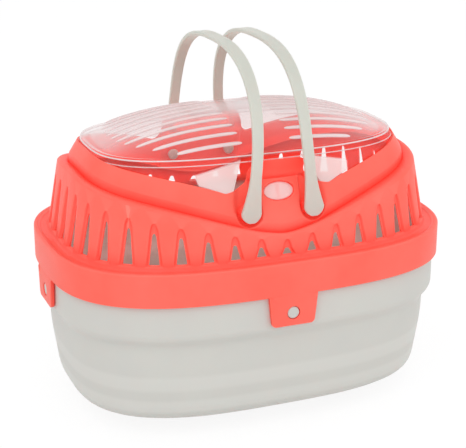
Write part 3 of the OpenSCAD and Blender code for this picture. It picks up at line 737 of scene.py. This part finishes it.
# Each bead is (outX, outY, height above the flange, radius, how much painted highlight it takes).
lidSettings = {
    "reachX": 115.2, "reachY": 66.3, "power": 3.0, "columns": 480, "flangeZ": 199.3, "flange": 2.0, "flangeHeight": 2.4,
    "domeInX": 3.4, "domeInY": 1.4, "wall": 2.0, "rise": 19.4, "domeRows": 34, "panelIn": 0.6, "panelWall": 1.8,
    "panelRows": 9, "seatGap": -0.5, "slantX": 31.4, "slantZ": 182.4, "slant": 1.95, "openDeg": 15,
    "ribs": 13, "ribPitch": 9.4, "ribWidth": 2.4, "ribRise": 1.0, "ribStart": 18.0, "ribReach": 100.5,
    "ribStations": 64, "ribAround": 14, "beads": [(-0.4, -0.4, 0.6, 0.6, 1.0), (1.2, 2.4, -3.0, 0.45, 0.6)],
    "boxReflectionFrom": 19.5, "boxReflectionTo": 56.2, "boxReflectionTop": 201.6, "boxReflectionY": 50, "glareLow": 0.1}


# Height of the dome at a share of its outline: top, less the rise times share to the power 2.4.
def domeZ(share):
    lid = lidSettings
    return lid["flangeZ"] + lid["flange"] + lid["rise"] * (1 - share ** 2.4)


lidAngle = np.linspace(-np.pi, np.pi, lidSettings["columns"], endpoint=False)


# Ring of the lid's own outline with given half-axes, at a height that may differ from place to place.
def lidRing(a, b, z):
    x, y = outline(lidAngle, a, b, lidSettings["power"])
    return np.stack([x, y, z + np.zeros_like(x)], -1)


# Dome, rim and the clear panels that lean out from the rim down to the collar's edge. They end on a slant beside each
# pier, and higher behind the hinge, to leave room as the lid opens.
def lidSurface():
    lid, s = lidSettings, shoulderSettings
    reachX, reachY, z = lid["reachX"], lid["reachY"], lid["flangeZ"]
    domeX, domeY = reachX - lid["domeInX"], reachY - lid["domeInY"]
    leanY = (s["reachY"] + s["leanY"] * (s["lowZ"] - s["edgeLowZ"]) - reachY) / (z - s["edgeLowZ"])

    def panel(height, inset):
        inset, down = inset + lid["panelIn"], z - height
        return lidRing(reachX - inset + s["leanX"] * down, reachY - inset + leanY * down, height)

    seat = collarEdgeZ(lidAngle) + lid["seatGap"]
    foot = seat
    for i in range(3):
        x = np.abs(panel(foot, 0)[:, 0])
        slant = np.where(np.abs(np.sin(lidAngle)) > 0.5, lid["slantZ"] + lid["slant"] * (lid["slantX"] - x), 0)
        foot = np.clip(slant, seat, z - 0.4)
    behind = np.maximum(panel(foot, 0)[:, 1] - hinge["y"], 0) * math.sin(math.radians(lid["openDeg"]))
    foot = np.minimum(foot + behind, z - 0.4)
    shares = np.sin(np.linspace(0.02, 1, lid["domeRows"]) * np.pi / 2)
    wall = lid["wall"]
    inside = [lidRing((domeX - wall) * share, (domeY - wall) * share, domeZ(share) - wall) for share in shares]
    outside = [lidRing(domeX * share, domeY * share, domeZ(share)) for share in shares[::-1]]
    drop = np.linspace(0, 1, lid["panelRows"])[1:-1]
    wall, nearFoot = lid["panelWall"], foot + (z - foot) * 0.1
    rim = rounded([
        (inside[-1], 0), (lidRing(reachX - 4.4, reachY - 4.4, z - 0.2), 0.8), (panel(z - 0.2, wall), 0.4),
        (panel(z - 1.0, wall), 0)])[1:]
    rim += [panel(z - 1.0 + (foot - z + 1.0) * u, wall) for u in drop]
    rim += rounded([
        (panel(nearFoot, wall), 0), (panel(foot, wall), 0.5), (panel(foot, 0), 0.5), (panel(nearFoot, 0), 0)])[1:-1]
    rim += [panel(z - 1.0 + (foot - z + 1.0) * u, 0) for u in drop[::-1]]
    rim += rounded([
        (panel(z - 1.0, 0), 0), (panel(z, 0), 0.3), (lidRing(reachX, reachY, z), 0.5),
        (lidRing(reachX, reachY, z + lid["flangeHeight"]), 0.9), (lidRing(domeX + 1.2, domeY + 0.5, z + 2.1), 0.5),
        (outside[0], 0)])[:-1]
    return skin(inside[:-1] + rim + outside)


# Bead round the rim: a circle carried round the lid's outline, which is set out by a distance each way.
def rimBead(outX, outY, z, radius):
    lid = lidSettings
    return skin([
        lidRing(lid["reachX"] + outX + radius * math.cos(a), lid["reachY"] + outY + radius * math.cos(a),
                z + radius * math.sin(a))
        for a in np.linspace(-np.pi / 2, 1.5 * np.pi, 10, endpoint=False)], closed=True)


# Ribs: half-round bars laid along the dome on both halves. Each is a grid of stations along it and points across it,
# and it thins at its ends as 1 - |2t - 1|^12.
def ribSurfaces():
    lid = lidSettings
    stations, around = lid["ribStations"], lid["ribAround"]
    y = ((np.arange(lid["ribs"]) - (lid["ribs"] - 1) / 2) * lid["ribPitch"])[:, None, None]
    reach = lid["ribReach"] * np.sqrt(1 - np.abs(y / (lid["reachY"] + 4)) ** 2.6)
    along = np.linspace(0, 1, stations)[None, :, None]
    across = np.linspace(0, 2 * np.pi, around, endpoint=False)[None, None, :]
    ends = np.clip(1 - (np.abs(along - 0.5) * 2) ** 12, 0, 1) ** 0.6
    x = lid["ribStart"] + (reach - lid["ribStart"]) * along + 0 * across
    y = y + lid["ribWidth"] / 2 * (0.15 + 0.85 * ends) * np.cos(across) + 0 * x
    share = (np.abs(x / (lid["reachX"] - lid["domeInX"])) ** 3
             + np.abs(y / (lid["reachY"] - lid["domeInY"])) ** 3) ** (1 / 3)
    rise = np.where(np.sin(across) > 0, lid["ribRise"], 0.9) * np.sin(across)
    z = domeZ(share) + rise * ends
    faces = gridFaces(stations, around)
    caps = np.stack([np.arange(around), (stations - 1) * around + np.arange(around)[::-1]])
    starts = (np.arange(lid["ribs"]) * stations * around)[:, None, None]
    surfaces = []
    for side in (-1, 1):
        quads, tips = [(kind if side < 0 else kind[:, ::-1])[None] + starts for kind in (faces, caps)]
        bars = np.stack([side * x, y, z], -1).reshape(-1, 3)
        surfaces.append((bars, [quads.reshape(-1, 4), tips.reshape(-1, around)]))
    return surfaces


lid = lidSettings
lidSurfaces, white = [lidSurface()] + ribSurfaces(), [0, 1, 1]
for outX, outY, above, radius, beadHighlight in lid["beads"]:
    lidSurfaces.append(rimBead(outX, outY, lid["flangeZ"] + above, radius))
    white.append(beadHighlight)
lidSurfaces.append(hingeRod(-hinge["barrelHalf"], hinge["barrelHalf"], hinge["knuckle"]))
lidSurfaces.append(hingeRod(-hinge["end"], hinge["end"], hinge["pin"], 0.3, 24))
# Ribs and rim beads take a painted highlight: their edge values whiten them.
edge = np.repeat(white + [0, 0], [len(points) for points, faces in lidSurfaces])
x, y, z = np.vstack([points for points, faces in lidSurfaces]).T
# How far inside the painted soft-box reflections a place is, in mm: they lie on the panels beside the front pier, as
# far as a slanted line and up to a sloping one. Below the rim the slanted painted reflection is weak.
boxReflection = np.minimum.reduce([
    np.abs(x) - lid["boxReflectionFrom"], lid["boxReflectionTo"] + (z - 182.9) * 0.24 - np.abs(x),
    lid["boxReflectionTop"] - 0.2 * np.abs(x) - z, -y - lid["boxReflectionY"]])
glareShare = lid["glareLow"] + (1 - lid["glareLow"]) * easedStep(z, lid["flangeZ"] + 1.0, 1.0)
lidLook = {"boxReflection": boxReflection, "edge": edge, "glareShare": glareShare}
dome = makePiece("lidDome", lidSurfaces, clearPlastic, "lid", lidLook)
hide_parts("lid")


# Each ring is (share of the window, depth below the collar's surface).
buttonSettings = {"columns": 96, "rings": [
    (0.02, 2.6), (0.9, 2.6), (0.97, 2.4), (0.985, 1.6), (0.975, 1.1), (0.93, 0.8), (0.8, 0.6), (0.55, 0.45),
    (0.3, 0.38), (0.02, 0.36)]}


# Oval button: a shallow pillow of elliptical rings that fills a pier's window, its rim eased over.
def buttonSurface():
    p, s = pierSettings, shoulderSettings
    angle = np.linspace(0, 2 * np.pi, buttonSettings["columns"], endpoint=False)
    slope = math.atan(s["leanY"])
    rings = []
    for share, depth in buttonSettings["rings"]:
        z = p["ovalHeight"] + p["ovalZ"] * share * np.sin(angle)
        y = -(s["reachY"] + s["leanY"] * (s["lowZ"] - z))
        x = p["ovalX"] * share * np.cos(angle)
        rings.append(np.stack([x, y + depth * math.cos(slope), z - depth * math.sin(slope)], -1))
    return skin(rings)


for name, turn in (("frontButton", 0), ("rearButton", 180)):
    buttonSurfaces = [turnPlan(buttonSurface(), turn)]
    # The whole button takes the same painted soft-box reflection as the panels beside it.
    allBoxReflection = np.full(pointCount(buttonSurfaces), 5.0)
    makePiece(name, buttonSurfaces, clearPlastic, "lid", {"boxReflection": allBoxReflection})


# The handles turn on the piers' pivots. The stud's profile is (distance along, radius); glow is the thin attribute.
handleSettings = {
    "reach": 88.0, "rise": 106.5, "lean": 7.1, "width": 8.0, "foot": 14.8,
    "grip": 10.0, "thick": 4.0, "dish": 0.26, "around": 28, "steps": 120, "footRows": 14, "glow": 1.05,
    "stud": [(0, 3.5), (10.7, 3.5), (10.8, 4.1), (11.3, 4.3), (11.9, 3.9), (12.3, 3.0), (12.4, 1.5)]}


# Strap: a rounded-rectangle section carried along the arch. The arch rises as sin^0.595, runs back as cos^0.755 and
# leans in towards its top; below each pivot the strap ends in a half circle. The section's width follows cos^0.55 and
# its thickness sin^0.5, and its faces are dished by 0.5 mm.
def strapSurface():
    s, pivotX, pivotZ = handleSettings, pierSettings["pivotX"], pierSettings["pivotZ"]
    t = np.pi / 2 * np.sin(np.linspace(0, np.pi / 2, s["steps"])) ** 2
    t = np.concatenate([t, np.pi - t[-2::-1]])
    u = np.sin(t) ** 0.595
    x = pivotX - s["lean"] * (1 - (1 - u) ** 2.39)
    centre = np.stack([
        x, -s["reach"] * np.sign(np.cos(t)) * np.abs(np.cos(t)) ** 0.755, pivotZ + s["rise"] * u], -1)
    half = s["width"] + (s["foot"] - s["width"]) * np.maximum(0, 1 - u / 0.24) ** 1.5
    half = (half + (s["grip"] - s["width"]) * u ** 4) / 2
    rows, radius = s["footRows"], s["foot"] / 2
    drop = np.radians(np.linspace(86, 4, rows))
    below = np.stack([np.full(rows, pivotX), np.full(rows, -s["reach"]), pivotZ - radius * np.sin(drop)], -1)
    centre = np.vstack([below, centre, (below * [1, -1, 1])[::-1]])
    half = np.concatenate([radius * np.cos(drop), half, (radius * np.cos(drop))[::-1]])
    along = np.gradient(centre[:, 1:], axis=0)
    along[:rows], along[-rows:] = (0, 1), (0, -1)
    along /= np.linalg.norm(along, axis=1, keepdims=True)
    normal = np.stack([-along[:, 1], along[:, 0]], -1)
    angle = np.linspace(0, 2 * np.pi, s["around"], endpoint=False)
    wide = np.sign(np.cos(angle)) * np.abs(np.cos(angle)) ** 0.55
    deep = np.sign(np.sin(angle)) * np.abs(np.sin(angle)) ** 0.5 * (1 - s["dish"] * np.abs(np.sin(angle)) ** 5)
    thick = s["thick"] / 2 * np.minimum(1, 0.35 + half / 4)
    points = np.empty((len(centre), s["around"], 3))
    points[:, :, 0] = centre[:, None, 0] + half[:, None] * wide
    points[:, :, 1:] = centre[:, None, 1:] + thick[:, None, None] * deep[None, :, None] * normal[:, None, :]
    return skin(list(points[:, ::-1]))


# Strap and studs of one handle, mirrored where side is -1.
def handleSurfaces(side):
    surfaces = [strapSurface()]
    for way in (-1, 1):
        start = (pierSettings["pivotX"], way * (handleSettings["reach"] - 1), pierSettings["pivotZ"])
        surfaces.append(turned(start, (0, -way, 0), handleSettings["stud"], 36))
    return [(points * [side, 1, 1], faces if side > 0 else [f[:, ::-1] for f in faces]) for points, faces in surfaces]


for name, body, side in (("handleRightStrap", "handle_right", 1), ("handleLeftStrap", "handle_left", -1)):
    strapParts = handleSurfaces(side)
    glow = np.full(pointCount(strapParts), handleSettings["glow"])
    strap = makePiece(name, strapParts, handlePlastic, body, {"thin": glow})
    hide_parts(body)


# floorGlow is the share of the floor's white that is plain backdrop; the rest keeps the carrier's shadow.
stageSettings = {"floor": "FFFFFF", "floorGlow": 0.86, "white": 1.04, "floorHalf": 4, "world": 0.74, "key": 9.0,
                 "fill": 3.0, "target": (0, 0, 0.12)}

floorMesh = bpy.data.meshes.new("studioFloor")
half = stageSettings["floorHalf"]
floorMesh.from_pydata([(-half, -half, 0), (half, -half, 0), (half, half, 0), (-half, half, 0)], [], [(0, 1, 2, 3)])
floor = bpy.data.objects.new("studioFloor", floorMesh)
bpy.context.scene.collection.objects.link(floor)
# Matte backdrop paper: plain white to the eye, with a soft shadow.
paper, tree = newMaterial("matteBackdropPaper")
diffuse = addNode(tree, "BsdfDiffuse", values={"Color": linear(stageSettings["floor"])})
glow = addNode(tree, "Emission", values={"Color": (1, 1, 1, 1), "Strength": stageSettings["white"]})
share = addNode(tree, "Math", {"operation": "MULTIPLY"}, {1: stageSettings["floorGlow"]}, {0: rayIs(tree, *eyeRays)})
paperMix = addNode(tree, "MixShader", links={0: share, 1: diffuse, 2: glow})
addNode(tree, "OutputMaterial", links={"Surface": paperMix})
floorMesh.materials.append(paper)

# The world is white to the eye and a little less to the carrier.
world = bpy.data.worlds.new("studio")
bpy.context.scene.world = world
world.use_nodes = True
tree = world.node_tree
tree.nodes.clear()
strength = addNode(tree, "MapRange", values={"To Min": stageSettings["world"], "To Max": 1.0}, links={
    "Value": rayIs(tree, *eyeRays)})
sky = addNode(tree, "Background", values={"Color": (1, 1, 1, 1)}, links={"Strength": strength})
addNode(tree, "OutputWorld", links={"Surface": sky})


# Square soft box that faces the carrier's middle.
def softBox(name, place, size, power):
    lamp = bpy.data.lights.new(name, "AREA")
    lamp.shape, lamp.size, lamp.energy = "SQUARE", size, power
    aim(bpy.data.objects.new(name, lamp), place, stageSettings["target"])


softBox("keyBox", (-0.7, -1.1, 1.5), 1.2, stageSettings["key"])
softBox("fillBox", (1.4, -0.9, 1.0), 1.4, stageSettings["fill"])
bpy.context.scene.view_settings.view_transform = "Standard"
print("stage: floor and lamps")
